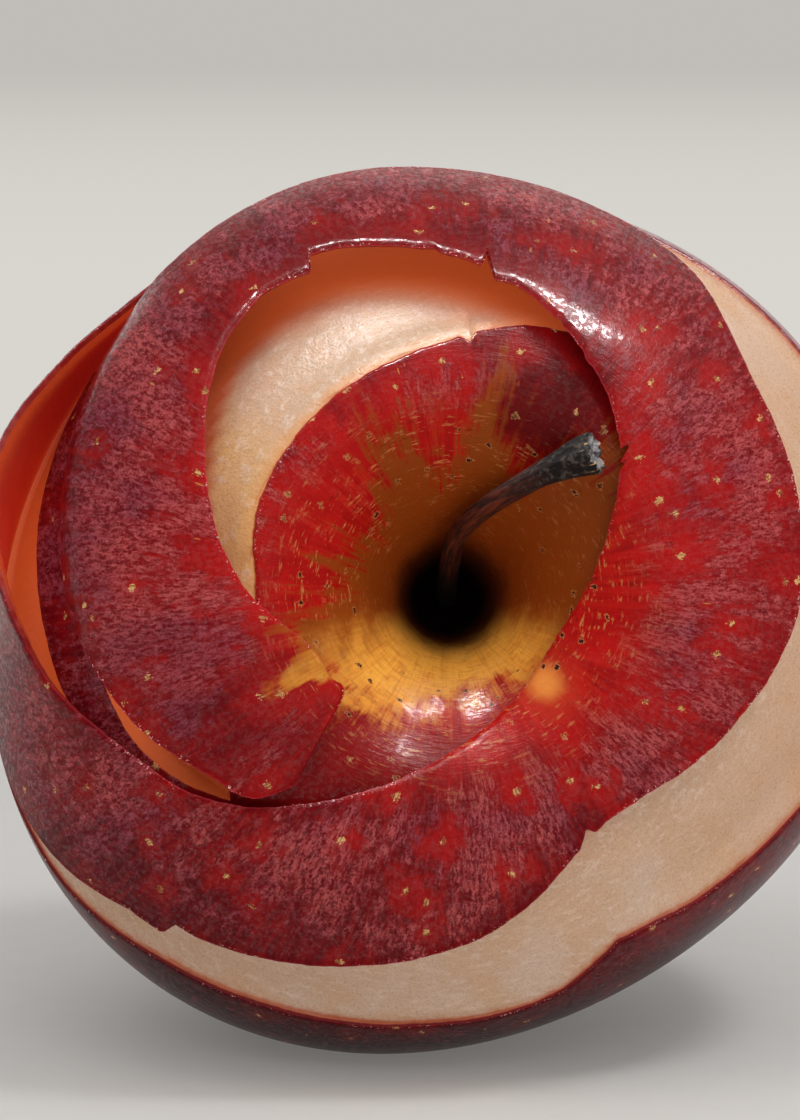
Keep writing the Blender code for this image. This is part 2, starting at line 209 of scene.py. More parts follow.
# Lamps that only light, and lamps that are only mirrored: name, size, energy, the direction they
# stand in and how far off.
LAMPS = [
    ("top_front_lamp", 0.9, 2.6, (0, -0.6, 1), 0.8),
    ("right_front_lamp", 0.8, 1.6, (0.6, -1, 0.45), 0.8),
    ("left_lamp", 0.6, 1.35, (-0.75, -0.5, 1), 0.8),
    ("key_lamp", 0.14, 1.3, (0.42, -0.24, 0.87), 0.7),
    ("top_back_lamp", 0.9, 1.3, (0, 0.8, 1), 0.8)]
SHINES = [
    ("key_shine", 0.26, 13, (0.42, -0.24, 0.87), 0.7),
    ("top_shine", 0.20, 7.5, (-0.12, -0.31, 0.95), 0.7),
    ("back_shine", 0.9, 1.3, (0.1, 1, 0.35), 0.9),
    ("left_shine", 0.6, 0.8, (-0.50, 1, 0.12), 0.7)]


def smooth_curve(points):
    """Return a function that runs through the points and is rounded between them."""
    places, values = np.array(points, dtype=float).T
    slopes = np.gradient(values, places)

    def value(place):
        index = np.clip(np.searchsorted(places, place) - 1, 0, len(places) - 2)
        width = places[index + 1] - places[index]
        t = np.clip((place - places[index]) / width, 0, 1)
        start = (1 + 2 * t) * (1 - t) ** 2 * values[index] + t * (1 - t) ** 2 * width * slopes[index]
        end = t * t * (3 - 2 * t) * values[index + 1] - t * t * (1 - t) * width * slopes[index + 1]
        return start + end

    return value


def soft_step(low, high, value):
    """Return 0 below low, 1 above high and a smooth rise between."""
    t = np.clip((value - low) / (high - low), 0, 1)
    return t * t * (3 - 2 * t)


def look_up(table, share):
    """Return the other columns of a table at a share of its first."""
    return [np.interp(share, table[:, 0], column) for column in table.T[1:]]


def window(value, starts, ends):
    """Return 1 inside a stretch and 0 outside, with a smooth change at its start and its end."""
    return soft_step(*starts, value) * soft_step(*ends, value)


def hand_cut(points, tears=()):
    """Return the curve of a cut made by hand, with its tears."""
    line = smooth_curve(points)

    def value(angle):
        turn = np.radians(angle)
        waver = np.sin(31 * turn) + 0.6 * np.sin(77 * turn + 1) + 0.45 * np.sin(171 * turn + 2)
        result = line(angle) + WAVER * waver
        for at, opens, closes, depth in tears:
            near = np.where(angle < at, 1 + (angle - at) / opens, 1 - (angle - at) / closes)
            result = result + depth * np.clip(near, 0, 1)
        return result

    return value


def outline_table():
    """Return the half outline as distance along the skin, radius and height, closely spaced."""
    points = np.array(HALF_OUTLINE)
    chord = np.concatenate([[0], np.cumsum(np.hypot(*np.diff(points, axis=0).T))])
    fine = np.linspace(0, chord[-1], OUTLINE_PARTS)
    radius = smooth_curve(list(zip(chord, points[:, 0])))(fine)
    height = smooth_curve(list(zip(chord, points[:, 1])))(fine)
    distance = np.concatenate([[0], np.cumsum(np.hypot(np.diff(radius), np.diff(height)))])
    return distance, np.maximum(radius, 0), height


DISTANCE, RADIUS, HEIGHT = outline_table()
SKIN_LENGTH = DISTANCE[-1]


def outline(distance, lift):
    """Return radius and height of points that stand off the outline by lift."""
    near, far = np.maximum(distance - SPAN, 0), np.minimum(distance + SPAN, SKIN_LENGTH)
    run = np.interp(far, DISTANCE, RADIUS) - np.interp(near, DISTANCE, RADIUS)
    rise = np.interp(far, DISTANCE, HEIGHT) - np.interp(near, DISTANCE, HEIGHT)
    size = np.hypot(run, rise)
    radius = np.interp(distance, DISTANCE, RADIUS) - lift * rise / size
    height = np.interp(distance, DISTANCE, HEIGHT) + lift * run / size
    return radius, height


def unevenness(angle, radius):
    """Return by what share the fruit is wider than round, which fades out towards the axis."""
    turn = np.radians(angle)
    uneven = (-DROPPED_TOP * np.cos(turn) - LEAN * np.sin(turn)
              + OVAL * np.cos(2 * (turn - math.radians(OVAL_ANGLE)))
              - THREE_LOBES * np.sin(3 * turn))
    return uneven * np.minimum(radius / WIDEST, 1) ** 2


def sunk_lip(angle, distance):
    """Return by how many mm the fruit is lower than its outline, below the stem cavity."""
    low_side = ((1 - np.cos(np.radians(angle))) / 2) ** 1.5
    return SUNK_LIP * low_side * soft_step(*LIP_RISES, distance) * soft_step(*LIP_ENDS, distance)


def place(angle, radius, height):
    """Return points in metres, with the fruit's axis along Z and its top towards Y."""
    turn = np.radians(angle)
    return np.stack([radius * np.sin(turn), radius * np.cos(turn), height + 0 * turn], axis=-1) * MM


def on_fruit(angle, distance, lift):
    """Return points at a clock angle and a distance along the skin, standing off by lift."""
    radius, height = outline(distance, lift)
    bare, _ = outline(distance, 0)
    radius = np.maximum(radius + bare * unevenness(angle, bare), 0)
    return place(angle, radius, height - sunk_lip(angle, distance))


def find_on_fruit(points):
    """Return the clock angle, the distance along the skin and the depth below it of points."""
    x, y, height = points.T / MM
    angle = np.degrees(np.arctan2(x, y)) % 360
    radius = np.hypot(x, y)
    bare = radius
    for _ in range(4):  # closer each time, since the unevenness depends on it
        bare = radius - bare * unevenness(angle, bare)
    stem_half = RADIUS.argmax()
    guess = np.interp(bare, RADIUS[:stem_half], DISTANCE[:stem_half])
    height = height + sunk_lip(angle, np.where(height > 0, guess, SKIN_LENGTH))
    nearest = np.empty(len(points), dtype=int)
    for start in range(0, len(points), BATCH):
        part = slice(start, start + BATCH)
        gap = (bare[part, None] - RADIUS) ** 2 + (height[part, None] - HEIGHT) ** 2
        nearest[part] = gap.argmin(axis=1)
    ahead = np.clip(nearest + SPAN_PARTS, 0, len(DISTANCE) - 1)
    behind = np.clip(nearest - SPAN_PARTS, 0, len(DISTANCE) - 1)
    run, rise = RADIUS[ahead] - RADIUS[behind], HEIGHT[ahead] - HEIGHT[behind]
    size = np.hypot(run, rise)
    off_radius, off_height = bare - RADIUS[nearest], height - HEIGHT[nearest]
    distance = DISTANCE[nearest] + (off_radius * run + off_height * rise) / size
    depth = (off_radius * rise - off_height * run) / size
    return angle, distance, depth


# ---------------------------------------------------------------- modelling

def vertex_places(obj):
    places = np.empty(len(obj.data.vertices) * 3)
    obj.data.vertices.foreach_get("co", places)
    return places.reshape(-1, 3)


def move_vertices(obj, places):
    obj.data.vertices.foreach_set("co", places.ravel())
    obj.data.update()


def select_only(obj):
    bpy.ops.object.select_all(action="DESELECT")
    obj.select_set(True)
    bpy.context.view_layer.objects.active = obj


@contextmanager
def editing(obj):
    """Open the mesh for editing, with everything in it selected."""
    select_only(obj)
    bpy.ops.object.mode_set(mode="EDIT")
    bpy.ops.mesh.select_all(action="SELECT")
    yield
    bpy.ops.object.mode_set(mode="OBJECT")


def add_ball(name, mesh, form):
    """Add a sphere and draw it out: form gets each vertex's share round and share down."""
    segments, rings = mesh
    bpy.ops.mesh.primitive_uv_sphere_add(segments=segments, ring_count=rings, radius=1)
    ball = bpy.context.object
    ball.name = name
    x, y, z = vertex_places(ball).T
    around = np.round(np.arctan2(-y, x) / (2 * np.pi) * segments) % segments / segments
    down = np.round(np.arccos(np.clip(z, -1, 1)) / np.pi * rings) / rings
    move_vertices(ball, form(around, down))
    return ball, around, down


def gap_to_skin(angle, distance):
    """How far a point on the fruit is from the nearest cut edge of the skin left on it, in mm."""
    stem_cut = stem_skin_edge(np.where(angle < CUT_START, angle + 360, angle))
    base_cut = hand_cut(BASE_SKIN_CUT, BASE_SKIN_TEARS)(angle)
    return np.minimum(np.abs(distance - stem_cut), np.abs(distance - base_cut))


def close_poles(places, down):
    """Put the first and the last row right on the axis."""
    places[(down == 0) | (down == 1), :2] = 0
    return places


def bare_flesh(around, down):
    """The whole fruit, set in by the depth of the peel, but for a slope up to the skin left on."""
    angle, distance = 360 * around, SKIN_LENGTH * down
    slope = FLESH_SLOPE * np.exp(-(gap_to_skin(angle, distance) / SLOPE_WIDTH) ** 2)
    return close_poles(on_fruit(angle, distance, slope - FLESH_DEPTH), down)


def left_skin(pole, ring, cut, start, sense):
    """Return the form of a skin left on the fruit, from a pole to a cut."""
    def form(around, down):
        angle = start + 360 * around
        to_ring, to_cut, past, depth = look_up(SKIN_SECTION, down)
        distance = pole + (ring - pole) * to_ring + (cut(angle) - ring) * to_cut + sense * past
        return close_poles(on_fruit(angle, distance, -depth), down)

    return form


def stem_skin_edge(angle):
    """The cut round the stem cavity; past the strip's start it is the strip's outer edge."""
    cut = hand_cut(STEM_SKIN_CUT, STEM_SKIN_TEARS)(angle)
    outer = hand_cut(STRIP_OUTER)(angle)
    return np.where(angle >= STRIP_OUTER[0][0], np.maximum(outer, cut), cut)


def missed_strip(around, down):
    """The sliver of skin that the knife missed, drawn out along its length."""
    angle = STRIP_FROM + (STRIP_TO - STRIP_FROM) * down
    inner, outer = hand_cut(STRIP_INNER)(angle), hand_cut(STRIP_OUTER)(angle)
    middle, half = (inner + outer) / 2, (outer - inner) / 2
    side, past, depth = look_up(STRIP_SECTION, around)
    return on_fruit(angle, middle + side * half + past, -depth)


def apply_modifier(obj, modifier):
    select_only(obj)
    bpy.ops.object.modifier_apply(modifier=modifier.name)


def unite(body, piece):
    """Grow the piece into the body."""
    joint = body.modifiers.new("grown on", "BOOLEAN")
    joint.operation = "UNION"
    joint.solver = "MANIFOLD"
    joint.object = piece
    apply_modifier(body, joint)
    bpy.data.objects.remove(piece, do_unlink=True)


def add_fruit():
    """Flesh and the skin still on it, as one closed body."""
    fruit, _, _ = add_ball("peeled_fruit", FRUIT_MESH, bare_flesh)
    base_cut = hand_cut(BASE_SKIN_CUT, BASE_SKIN_TEARS)
    stem_skin = left_skin(0, STEM_SKIN_RING, stem_skin_edge, CUT_START, 1)
    base_skin = left_skin(SKIN_LENGTH, BASE_SKIN_RING, base_cut, 0, -1)
    skins = [
        add_ball("stem_skin", SKIN_MESH, stem_skin)[0],
        add_ball("base_skin", SKIN_MESH, base_skin)[0],
        add_ball("strip", STRIP_MESH, missed_strip)[0]]
    for skin in skins:
        with editing(skin):
            bpy.ops.mesh.normals_make_consistent(inside=False)
        unite(fruit, skin)
    return fruit


def mark(obj, domain="POINT", **attributes):
    """Write values on the mesh for its materials to read."""
    for name, values in attributes.items():
        kind = "FLOAT" if values.ndim == 1 else "FLOAT_VECTOR"
        attribute = obj.data.attributes.new(name, kind, domain)
        attribute.data.foreach_set("value" if kind == "FLOAT" else "vector", values.ravel())


def mark_places(obj, angle, distance, rest, gold, margin):
    """Write on the piece where each point was on the whole fruit, for the patterns of its skin."""
    turn = np.radians(angle)
    compass = np.stack([np.sin(turn), np.cos(turn), distance], axis=-1)
    mark(obj, compass=compass, rest=rest / MM, gold=gold, margin=margin)

    # The same places unrolled flat, on the corners of the faces, so that the seam stays sharp.
    corners = np.empty(len(obj.data.loops), dtype=int)
    obj.data.loops.foreach_get("vertex_index", corners)
    starts = np.empty(len(obj.data.polygons), dtype=int)
    obj.data.polygons.foreach_get("loop_start", starts)
    counts = np.diff(np.append(starts, len(corners)))
    unrolled = angle[corners]
    widest = np.repeat(np.maximum.reduceat(unrolled, starts), counts)
    unrolled = np.where(widest - unrolled > 180, unrolled + 360, unrolled)
    flat = np.stack([np.radians(unrolled) * MAP_RADIUS, distance[corners], 0 * unrolled], axis=-1)
    mark(obj, "CORNER", unrolled=flat)


def shape_peel(peel):
    """Lay a flat grid round the fruit as the peel. Returns each point's distance from an edge."""
    front, rear = hand_cut(PEEL_FRONT, FRONT_TEARS), hand_cut(PEEL_REAR, REAR_TEARS)
    front_lift, rear_lift = smooth_curve(FRONT_LIFT), smooth_curve(REAR_LIFT)
    x, y, _ = vertex_places(peel).T
    along, row = (x + 1) / 2, (y + 1) / 2
    share = row - EDGE_CROWDING * np.sin(2 * np.pi * row) / (2 * np.pi)
    angle = PEEL_START + (PEEL_END - PEEL_START) * along
    rolled = window(angle, (256, 270), (320, 302))
    near, far = front(angle), rear(angle) + ROLL_EXTRA * rolled
    distance = near + (far - near) * share
    lift = rear_lift(angle) + (front_lift(angle) - rear_lift(angle)) * (1 - share) ** 2
    from_front, from_rear = distance - near, far - distance
    from_end = (angle - PEEL_START) * MM_PER_DEGREE
    margin = np.minimum(np.minimum(from_front, from_rear), from_end)
    bend = (1 - np.clip(np.minimum(from_front, from_end) / EDGE_BEND_WIDTH, 0, 1)) ** 2
    joins_skin = soft_step(700, 719, angle)
    bend = EDGE_BEND * bend * (1 - joins_skin)
    roll = ROLL_DROP * rolled * (1 - np.clip(from_rear / ROLL_WIDTH, 0, 1)) ** 2
    move_vertices(peel, on_fruit(angle, distance, lift - bend - roll))

    mark_places(peel, angle, distance, on_fruit(angle, distance, 0),
                3 * (smooth_curve(GOLD_ON_PEEL)(angle) - distance), margin)
    # Where the inside of the peel gets a painted glow of light let through it.
    lit_behind = soft_step(612, 640, angle)
    turned_up = soft_step(4.5, 0.5, from_front) * window(angle, (305, 340), (400, 360))
    free_end = soft_step(264, 236, angle)
    mark(peel, glow=lit_behind, polish=turned_up + 0.5 * free_end)
    return margin


def thicken_peel(peel, margin):
    """Give the peel its thickness on its inner side, less of it at the edges."""
    weights = peel.vertex_groups.new(name="thickness")
    thickness = EDGE_THICKNESS + (1 - EDGE_THICKNESS) * soft_step(0, EDGE_TAPER, margin)
    for index, weight in enumerate(thickness):
        weights.add([index], float(weight), "REPLACE")
    with editing(peel):
        bpy.ops.mesh.remove_doubles(threshold=0.01 * MM)
        bpy.ops.mesh.normals_make_consistent(inside=False)
    outwards = sum(face.normal.dot(face.center) for face in peel.data.polygons)
    if outwards < 0:
        peel.data.flip_normals()
    solid = peel.modifiers.new("thickness", "SOLIDIFY")
    solid.thickness = PEEL_THICKNESS * MM
    solid.offset = -1
    solid.vertex_group = "thickness"
    solid.material_offset = 2
    solid.material_offset_rim = 1
    apply_modifier(peel, solid)


def add_peel(skin, edge, inside):
    """The loose peel, from its free end near the stem to where it still hangs on the fruit."""
    along, across = PEEL_MESH
    bpy.ops.mesh.primitive_grid_add(x_subdivisions=along, y_subdivisions=across, size=2)
    peel = bpy.context.object
    peel.name = "spiral_peel"
    for material in (skin, edge, inside):
        peel.data.materials.append(material)
    thicken_peel(peel, shape_peel(peel))
    return peel


def stem_course():
    """Return the stem's length and the curves of its x, y, z and radius along it, in metres."""
    path = np.array(STEM_PATH)
    points = place(path[:, 0], path[:, 1], path[:, 2])
    chord = np.concatenate([[0], np.cumsum(np.linalg.norm(np.diff(points, axis=0), axis=1))])
    columns = (*points.T, path[:, 3] / 2 * MM)
    return chord[-1], [smooth_curve(list(zip(chord, column))) for column in columns]


def stem_form(around, down):
    """A round stalk that leans to the right and flares, grooved, and ragged where it broke off."""
    length, (*course, width) = stem_course()

    def along(run):
        return np.stack([curve(run) for curve in course], axis=-1)

    reached, close = look_up(STEM_ROWS, down)
    run = reached * length
    direction = along(np.minimum(run + 0.5 * MM, length)) - along(np.maximum(run - 0.5 * MM, 0))
    direction /= np.linalg.norm(direction, axis=1, keepdims=True)
    side = np.cross(direction, [0, 1, 0])
    side /= np.linalg.norm(side, axis=1, keepdims=True)
    up = np.cross(side, direction)
    turn = 2 * np.pi * around
    grooves = 1 + 0.05 * np.sin(5 * turn + 9 * run / length) + 0.03 * np.sin(11 * turn + 1)
    radius = width(run) * close * grooves
    rag = np.where(down > 0.88, 0.25 * MM * np.sin(9 * turn) * np.sin(4 * turn + 1), 0)
    dish = np.where(down > 0.94, -0.3 * MM * (1 - close), 0)
    places = along(run) + direction * (rag + dish)[:, None]
    return places + (side * np.cos(turn)[:, None] + up * np.sin(turn)[:, None]) * radius[:, None]


def add_stem(material):
    """The stem, with marks along its fibres for the bark."""
    stem, around, down = add_ball("stalk", STEM_MESH, stem_form)
    stem.data.flip_normals()
    length, _ = stem_course()
    run = np.interp(down, STEM_ROWS[1:3, 0], [0, 1]) * length / MM
    turn = 2 * np.pi * around
    fibre = np.stack([np.cos(turn), np.sin(turn), run], axis=-1)
    mark(stem, rest=vertex_places(stem) / MM, along=down, fibre=fibre)
    stem.data.materials.append(material)
    return stem


# ---------------------------------------------------------------- materials

def srgb(red, green, blue):
    """Return the shader's colour for a colour given in 0 to 255."""
    linear = [(c / 255 / 12.92) if c <= 10 else ((c / 255 + 0.055) / 1.055) ** 2.4
              for c in (red, green, blue)]
    return (*linear, 1)


SET_COLOUR = srgb(192, 189, 184)


class Value:
    """An output of a node, on which sums can be written."""

    def __init__(self, recipe, socket):
        self.recipe = recipe
        self.socket = socket

    def maths(self, operation, *terms, clamp=False):
        return self.recipe.add("ShaderNodeMath", {"operation": operation, "use_clamp": clamp},
                               dict(enumerate(terms)))

    def __add__(self, other):
        return self.maths("ADD", self, other)

    __radd__ = __add__

    def __sub__(self, other):
        return self.maths("SUBTRACT", self, other)

    def __rsub__(self, other):
        return self.maths("SUBTRACT", other, self)

    def __mul__(self, other):
        return self.maths("MULTIPLY", self, other)

    __rmul__ = __mul__

    def __truediv__(self, other):
        return self.maths("DIVIDE", self, other)

    def step(self, low, high, bottom=0, top=1):
        """A smooth rise from bottom to top as the value goes from low to high."""
        return self.recipe.add(
            "ShaderNodeMapRange", {"interpolation_type": "SMOOTHSTEP"},
            {"Value": self, "From Min": low, "From Max": high, "To Min": bottom, "To Max": top})

    def clamp(self):
        return self.maths("ADD", self, 0, clamp=True)


class Recipe:
    """The nodes of a material, or of the world, in the making."""

    def __init__(self, name, made_in=None, shader="Principled BSDF"):
        made_in = bpy.data.materials if made_in is None else made_in
        self.made = made_in.new(name)
        self.made.use_nodes = True
        self.tree = self.made.node_tree
        self.shader = self.tree.nodes[shader]
        self.colour = None

    def feed(self, socket, value):
        if isinstance(value, Value):
            self.tree.links.new(value.socket, socket)
        else:
            socket.default_value = value

    def add(self, kind, settings, sockets, output=0):
        node = self.tree.nodes.new(kind)
        for name, setting in settings.items():
            setattr(node, name, setting)
        for name, value in sockets.items():
            self.feed(node.inputs[name], value)
        return Value(self, node.outputs[output])

    def attribute(self, name, output="Vector"):
        return self.add("ShaderNodeAttribute", {"attribute_name": name}, {}, output)

    def split(self, vector):
        return [self.add("ShaderNodeSeparateXYZ", {}, {0: vector}, axis) for axis in range(3)]

    def stretch(self, vector, scale):
        return self.add("ShaderNodeVectorMath", {"operation": "MULTIPLY"}, {0: vector, 1: scale})

    def noise(self, vector, size, detail=3, roughness=0.5, distortion=0):
        """Cloudy variation from 0 to 1, whose blotches are about size across."""
        return self.add("ShaderNodeTexNoise", {}, {
            "Vector": vector, "Scale": 1 / size, "Detail": detail, "Roughness": roughness,
            "Distortion": distortion})

    def mix(self, share, first, second):
        return self.add("ShaderNodeMix", {"data_type": "RGBA", "clamp_factor": True},
                        {0: share, 6: first, 7: second}, 2)

    def paint(self, share, colour):
        """Lay a colour over what is there, as thickly as share says."""
        self.colour = self.mix(share, self.colour, colour)

    def bump(self, height):
        return self.add("ShaderNodeBump", {}, {"Height": height, "Distance": MM, "Strength": 1})

    def finish(self, **looks):
        for name, value in looks.items():
            self.feed(self.shader.inputs[name.replace("_", " ")], value)
        return self.made

    def plain(self):
        """What the plain shader shows."""
        return Value(self, self.shader.outputs[0])

    def blend(self, share, first, second):
        return self.add("ShaderNodeMixShader", {}, {0: share, 1: first, 2: second})

    def in_view(self):
        """1 where the camera looks, itself or by way of a reflection or through glass."""
        camera, glossy, through = (
            self.add("ShaderNodeLightPath", {}, {}, kind)
            for kind in ("Is Camera Ray", "Is Glossy Ray", "Is Transmission Ray"))
        return (camera + glossy + through).clamp()

    def show(self, shader):
        """Show this shader instead of the plain one."""
        output = next(node for node in self.tree.nodes if node.type.startswith("OUTPUT"))
        self.feed(output.inputs["Surface"], shader)


class Skin(Recipe):
    """Dark red apple skin: streaks along its meridians, waxy flecks, lenticels, gold at the stem."""

    def __init__(self):
        super().__init__("apple_skin")
        self.rest = self.attribute("rest")
        self.compass = self.attribute("compass")
        self.rightwards, self.upwards, self.distance = self.split(self.compass)
        self.gold = self.attribute("gold", "Fac")
        self.margin = self.attribute("margin", "Fac")
        self.polish = self.attribute("polish", "Fac")

        self.blotches = self.noise(self.rest, 2, 3, 0.6)
        self.clumps = self.noise(self.rest, 1.3, 3, 0.6)
        self.dust = self.noise(self.rest, 0.20, 2, 0.7)
        self.patches = self.drawn_out(26, 0.6, 7, 3, 0.5)
        self.clouds = self.drawn_out(26, 0.6, 5, 2, 0.5)
        self.streaks = self.drawn_out(24, 0.12, 1.1, 3, 0.6)
        self.lines = self.drawn_out(24, 0.10, 0.42, 2, 0.6)
        self.flecks = self.drawn_out(21, 0.34, 0.24, 3, 0.65, 0.5)
        self.wrinkles = self.drawn_out(2, 1, 0.5, 3, 0.65)
        self.across = self.drawn_out(2.4, 1, 0.26, 2, 0.7)

        self.off_cap = self.distance.step(24, 31)
        # The lower side and the part that faces the floor, which are darkened as painted shade.
        self.shaded_underside = self.distance.step(52, 62) * self.upwards.step(-0.3, -0.8)
        self.low_side = self.upwards.step(-0.3, -0.9)
        self.from_star = self.from_lenticel()

    def drawn_out(self, round_way, along_way, *settings):
        """Noise with one measure round the fruit, in mm for each radian, and one along the skin."""
        return self.noise(self.stretch(self.compass, (round_way, round_way, along_way)), *settings)

    def from_lenticel(self):
        """Distance in mm to the nearest of the points strewn over the unrolled skin."""
        unrolled = self.attribute("unrolled")
        nearest = self.add(
            "ShaderNodeTexVoronoi", {"voronoi_dimensions": "2D"},
            {"Vector": unrolled, "Scale": 1 / LENTICEL_SPACING}, "Position")
        apart = self.add("ShaderNodeVectorMath", {"operation": "SUBTRACT"}, {0: nearest, 1: unrolled})
        radius = self.add("ShaderNodeVectorMath", {"operation": "LENGTH"},
                          {0: self.stretch(self.rest, (1, 1, 0))}, "Value")
        round_way, along_way, _ = self.split(apart)
        round_way = round_way * radius / MAP_RADIUS
        squared = round_way * round_way + along_way * along_way
        return squared.maths("SQRT", squared)

    def away_from(self, spot):
        """Distance in mm from a spot given by its clock angle and distance along the skin."""
        centre = tuple(on_fruit(*np.array([*spot, 0])) / MM)
        return self.add("ShaderNodeVectorMath", {"operation": "DISTANCE"},
                        {0: self.rest, 1: centre}, "Value")

    def lay_ground(self):
        """Wine to crimson in patches and streaks, brighter near the stem, and dark below as painted
        shade.
        """
        patchy = (0.7 * self.patches + 0.3 * self.streaks).step(0.36, 0.62)
        cap = self.mix(self.streaks.step(0.4, 0.6), srgb(160, 14, 14), srgb(206, 40, 20))
        self.colour = self.mix(self.off_cap, cap, self.mix(patchy, srgb(92, 3, 13), srgb(124, 5, 14)))
        ruddy = (0.5 * self.patches + 0.5 * self.blotches + 0.2 * self.streaks).step(0.44, 0.72)
        self.paint(self.distance.step(46, 22) * ruddy, srgb(196, 20, 18))
        # Painted shade on the lower side.
        self.paint(self.upwards.step(-0.2, -0.9) * self.off_cap * 0.75, srgb(92, 4, 12))
        self.paint(self.lines.step(0.42, 0.7) * 0.3, srgb(190, 30, 26))
        # More painted shade further down, most where the skin faces the floor.
        self.paint(self.distance.step(40, 54) * self.low_side * 0.5, srgb(78, 6, 16))
        self.paint(self.shaded_underside * 0.85, srgb(42, 9, 14))

    def lay_halos(self):
        """A brighter, cleaner red round each lenticel, and a darker one where the skin is bare of wax,
        which on the fruit by the stem is also painted shade beside the peel.
        """
        ragged = self.from_star + 6 * (self.blotches - 0.5) + 3 * (self.streaks - 0.5)
        halo = ragged.step(2.8, 0.4)
        self.paint(halo * self.distance.step(56, 30, 0.15, 0.7), srgb(180, 18, 17))
        self.paint(self.polish * 0.7, srgb(128, 8, 12))
        return halo

    def lay_wax(self, halo):
        """Fine pinkish flecks that gather in clouds and keep off the halos."""
        # More wax on the left side, standing in for a painted sheen there.
        painted_sheen_left = (self.rightwards.step(-0.5, -0.9) * self.distance.step(32, 36)
                     * self.distance.step(50, 44))
        cover = (self.clumps + self.clouds + 0.7 * (self.streaks - 0.5) - 0.16 * halo
                 + 0.15 * self.off_cap - 0.35 * self.polish + 0.14 * painted_sheen_left
                 - 0.16 * self.margin.step(4, 0.5)
                 - 0.3 * self.distance.step(40, 52) * self.low_side)
        cover = cover.step(0.94, 1.24)
        self.paint(cover * 0.55 * self.off_cap, srgb(96, 10, 22))
        wax = (0.65 * self.flecks + 0.35 * self.dust + 0.04 * cover).step(0.44, 0.66)
        wax = wax * (0.14 + 0.86 * cover) * self.gold.step(0.5, -3)
        waxy = self.mix(self.patches.step(0.35, 0.6), srgb(158, 72, 88), srgb(206, 92, 92))
        waxy = self.mix(self.off_cap, srgb(216, 104, 76), waxy)
        shows = (self.off_cap.step(0, 1, 0.25, 0.75) * (1 - 0.7 * self.polish)
                 * (1 - 0.5 * self.shaded_underside))
        self.paint(wax * shows, waxy)
        return wax

    def lay_gold(self):
        """Gold round the stem, red in thin streaks, with painted shade that makes it browner up the
        sides and dark at the bottom.
        """
        fine = self.lines.step(0.35, 0.75) * self.distance.step(8, 17) * 0.6
        golden = self.mix(fine, srgb(255, 182, 72), srgb(238, 130, 40))
        golden = self.mix(self.wrinkles.step(0.50, 0.70) * 0.35, golden, srgb(176, 84, 20))
        golden = self.mix(self.wrinkles.step(0.46, 0.32) * 0.4, golden, srgb(252, 190, 96))
        # Painted shade on the sides and top of the cavity, which face away from the light.
        shaded = (self.upwards + 0.5 * (self.blotches - 0.5)).step(-0.75, -0.1)
        golden = self.mix(shaded, golden, srgb(150, 68, 18))
        reddish = (self.streaks + 0.3 * self.blotches).step(0.66, 0.86)
        golden = self.mix(reddish * 0.25, golden, srgb(168, 60, 24))
        # Painted shade in the recess: browner deeper in the cavity and near black at its bottom.
        brown = (self.distance + 3 * (self.blotches - 0.5)).step(12, 6)
        golden = self.mix(brown, golden, srgb(66, 28, 10))
        golden = self.mix(self.distance.step(7, 4), golden, srgb(15, 6, 4))
        fanned = self.upwards.step(-0.7, 0.2, 8, 26)
        edge = (self.gold + fanned * (self.streaks - 0.5) + 16 * (self.blotches - 0.5)
                + 6 * (self.lines - 0.5))
        self.paint(edge.step(-4, 3), golden)

    def lay_marks(self):
        """Short russet cracks that run round the stem, fine dashes further out, a round spot and a
        patch of painted shade.
        """
        stem_end = self.distance.step(31, 23) * self.distance.step(7, 14)
        russet = self.across.step(0.56, 0.62) * self.clumps.step(0.46, 0.60) * stem_end
        self.paint(russet * self.gold.step(6, 0, 0.25, 0.65), srgb(214, 146, 84))
        dark = self.across.step(0.40, 0.34) * self.clumps.step(0.5, 0.6) * stem_end
        self.paint(dark * self.gold.step(2, 0) * 0.6, srgb(84, 20, 12))
        from_dash = self.add("ShaderNodeTexVoronoi", {}, {
            "Vector": self.stretch(self.compass, (24, 24, 0.25)), "Scale": 1 / DASH_SPACING})
        dash = from_dash.step(0.07, 0.04) * self.clouds.step(0.42, 0.52) * self.off_cap
        self.paint(dash * 0.6, srgb(208, 140, 72))

        # A patch of painted shade beside the stem, under the peel's overhang, and a round yellow spot
        # with a ruddy ring.
        away = self.away_from(OVERHANG_SHADE) + 5 * (self.blotches - 0.5) + 3 * (self.streaks - 0.5)
        self.paint(away.step(5.5, 2) * 0.75, srgb(72, 8, 10))
        away = self.away_from(SUN_SPOT)
        self.paint((away + 2.5 * (self.blotches - 0.5)).step(4.5, 1.5) * 0.6, srgb(196, 60, 30))
        self.paint((away + 1.2 * (self.blotches - 0.5)).step(2.4, 0.4), srgb(240, 144, 64))

    def lay_lenticels(self):
        """Ragged yellow stars, which near the stem are pale rings with a dark dot in them."""
        crumbs = self.noise(self.rest, 0.35, 2, 0.8)
        ragged = self.from_star + 1.3 * (crumbs - 0.5) + 0.5 * (self.blotches - 0.5)
        star = ragged.step(0.29, 0.19) * self.off_cap
        starry = self.mix(self.flecks.step(0.4, 0.6), srgb(150, 84, 48), srgb(236, 186, 120))
        self.paint(star * 0.9, starry)
        ring = ragged.step(0.30, 0.20) - ragged.step(0.14, 0.08) * 1.6
        near_stem = self.distance.step(31, 24) * self.distance.step(15, 18)
        self.paint(ring * near_stem * 0.7, srgb(200, 136, 80))
        self.paint(ragged.step(0.16, 0.09) * near_stem, srgb(66, 26, 18))
        return star

    def trim_margins(self):
        """A paler line at the cut, painted as the light its thin edge catches, and bright specks along
        it that are painted glints.
        """
        cut = (self.margin + 0.08 * (self.flecks - 0.5)).step(0.15, 0.06)
        self.paint(cut * 0.3, srgb(206, 62, 74))
        glint = self.margin.step(0.45, 0.15) * self.dust.step(0.60, 0.68) * self.clouds.step(0.42, 0.5)
        self.paint(glint, srgb(244, 206, 200))

